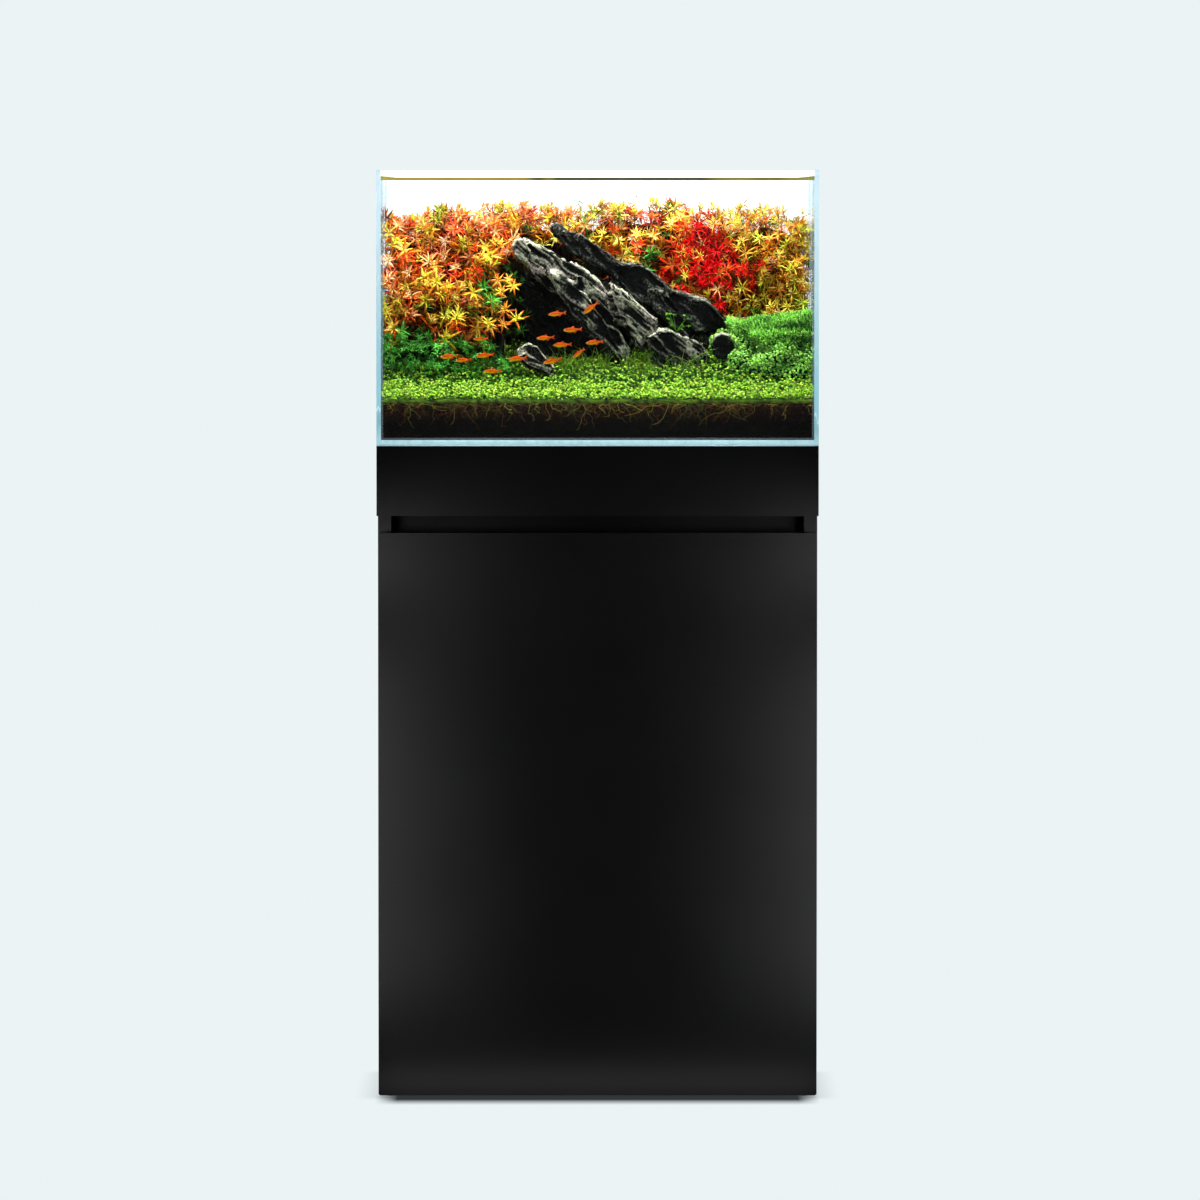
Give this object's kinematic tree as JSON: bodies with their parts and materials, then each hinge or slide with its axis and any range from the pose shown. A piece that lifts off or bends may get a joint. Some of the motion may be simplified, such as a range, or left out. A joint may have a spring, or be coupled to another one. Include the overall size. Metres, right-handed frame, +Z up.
{
  "type": "planted aquarium on a cabinet stand",
  "caption": "Rimless glass aquarium with stones, stem plants, a carpet and small fish, on a black cabinet with a hinged door, a finger pull and levelling feet.",
  "frame": {"origin": "on the floor, under the middle of the cabinet's and tank's footprint", "axes": "+X to the right as seen from the door, +Y from the door to the back, +Z up"},
  "size_m": [0.6, 0.36, 1.262],
  "materials": {
    "cabinet_board": "satin",
    "recess_board": "matte",
    "zinc_steel": "satin",
    "black_steel": "satin",
    "black_plastic": "matte",
    "beech_dowel": "matte",
    "clear_bumper": "satin",
    "foam_mat": "matte",
    "tank_glass": "gloss",
    "clear_silicone": "gloss",
    "white_film": "matte",
    "soil": "matte",
    "water": "gloss",
    "grey_stone": "matte",
    "orange_stems": "satin",
    "red_stems": "satin",
    "lime_carpet": "satin",
    "green_moss": "satin",
    "grass": "satin",
    "fish_skin": "satin"
  },
  "bodies": {
    "cabinet_and_tank": {"side_panel_left": "cabinet_board", "side_panel_right": "cabinet_board", "bottom_panel": "cabinet_board", "top_panel": "cabinet_board", "back_panel": "cabinet_board", "front_apron": "cabinet_board", "groove_rail": "recess_board", "shelf": "cabinet_board", "shelf_pins": "zinc_steel", "cam_locks": "zinc_steel", "cam_bolts": "zinc_steel", "wood_dowels": "beech_dowel", "back_screws": "black_steel", "hose_grommets": "black_plastic", "foot_inserts": "zinc_steel", "hinge_plate_lower": "zinc_steel", "hinge_plate_upper": "zinc_steel", "hinge_arm_lower": "zinc_steel", "hinge_arm_upper": "zinc_steel", "plate_screws": "zinc_steel", "arm_pins": "zinc_steel", "levelling_mat": "foam_mat", "tank_bottom_pane": "tank_glass", "tank_front_pane": "tank_glass", "tank_back_pane": "tank_glass", "tank_left_pane": "tank_glass", "tank_right_pane": "tank_glass", "corner_seams": "clear_silicone", "base_seams": "clear_silicone", "background_film": "white_film", "soil": "soil", "water": "water", "stone_main": "grey_stone", "stone_spire": "grey_stone", "stone_right": "grey_stone", "stone_small": "grey_stone", "stone_round": "grey_stone", "stem_plants_left": "orange_stems", "stem_plants_middle": "orange_stems", "stem_plants_right": "red_stems", "carpet_plants": "lime_carpet", "moss_mound": "green_moss", "hairgrass": "grass", "fish": "fish_skin"},
    "hinge_links": {"hinge_link_lower": "zinc_steel", "hinge_link_upper": "zinc_steel"},
    "door": {"door_panel": "cabinet_board", "hinge_cup_lower": "zinc_steel", "hinge_cup_upper": "zinc_steel", "cup_screws": "zinc_steel", "cup_pins": "zinc_steel", "door_bumpers": "clear_bumper"},
    "foot_front_left": {"foot_pad_front_left": "black_plastic", "foot_stem_front_left": "zinc_steel"},
    "foot_front_right": {"foot_pad_front_right": "black_plastic", "foot_stem_front_right": "zinc_steel"},
    "foot_rear_left": {"foot_pad_rear_left": "black_plastic", "foot_stem_rear_left": "zinc_steel"},
    "foot_rear_right": {"foot_pad_rear_right": "black_plastic", "foot_stem_rear_right": "zinc_steel"}
  },
  "joints": [
    {"name": "hinge_fold", "type": "hinge", "parent": "cabinet_and_tank", "child": "hinge_links", "pos_m": [-0.263, -0.1665, 0.384], "axis": [0, 0, 1], "range_deg": [0, 40]},
    {"name": "door_swing", "type": "hinge", "parent": "hinge_links", "child": "door", "pos_m": [-0.2865, -0.1705, 0.384], "axis": [0, 0, -1], "range_deg": [0, 135]},
    {"name": "foot_front_left_height", "type": "slide", "parent": "cabinet_and_tank", "child": "foot_front_left", "axis": [0, 0, -1], "range_m": [0, 0.01]},
    {"name": "foot_front_right_height", "type": "slide", "parent": "cabinet_and_tank", "child": "foot_front_right", "axis": [0, 0, -1], "range_m": [0, 0.01]},
    {"name": "foot_rear_left_height", "type": "slide", "parent": "cabinet_and_tank", "child": "foot_rear_left", "axis": [0, 0, -1], "range_m": [0, 0.01]},
    {"name": "foot_rear_right_height", "type": "slide", "parent": "cabinet_and_tank", "child": "foot_rear_right", "axis": [0, 0, -1], "range_m": [0, 0.01]}
  ],
  "couplings": [
    {"joint": "hinge_fold", "follows": "door_swing", "ratio": 0.2962}
  ]
}
